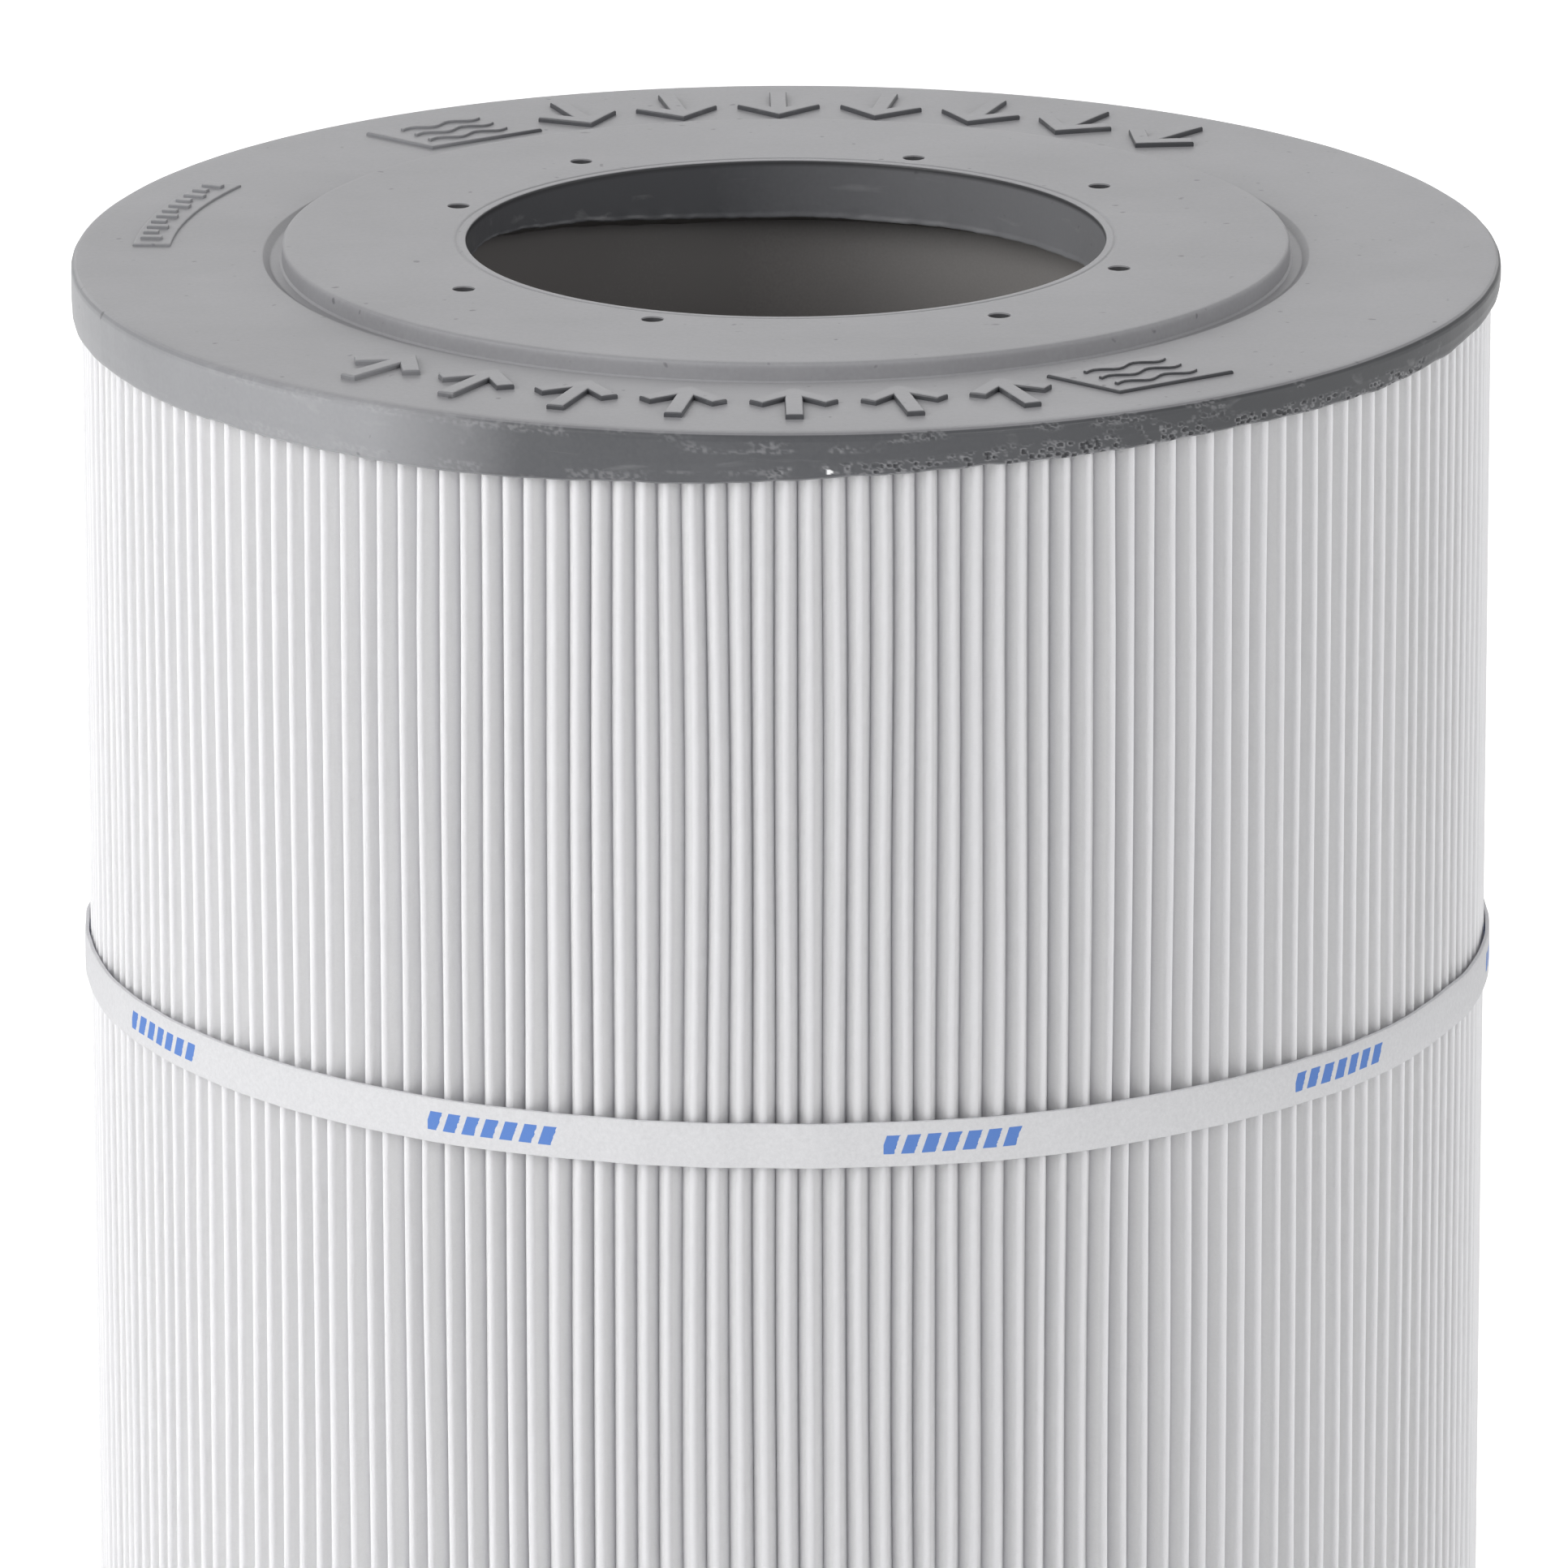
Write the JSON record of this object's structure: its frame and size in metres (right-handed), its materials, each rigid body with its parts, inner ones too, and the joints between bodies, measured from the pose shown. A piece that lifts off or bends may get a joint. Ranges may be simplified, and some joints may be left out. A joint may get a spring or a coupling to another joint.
{
  "type": "filter cartridge",
  "caption": "Round pleated water filter cartridge with moulded end caps, an open centre port through both ends, a perforated core and straps round the pleats.",
  "frame": {"origin": "centre of the bottom end cap's outer face, on the cartridge's axis", "axes": "+Z along the cartridge's axis, from the bottom cap to the top cap; +Y towards the back, where the media's seam is"},
  "size_m": [0.227, 0.227, 0.59],
  "materials": {
    "end_cap": "satin",
    "media": "matte",
    "strap": "matte",
    "core": "satin",
    "hot_melt": "satin"
  },
  "bodies": {
    "root": {"top_end_cap": "end_cap", "bottom_end_cap": "end_cap", "pleated_media": "media", "media_seam_bead": "hot_melt", "core_section_1": "core", "core_section_2": "core", "core_section_3": "core", "core_section_4": "core", "strap_1": "strap", "strap_2": "strap", "strap_3": "strap", "strap_4": "strap"}
  },
  "joints": []
}
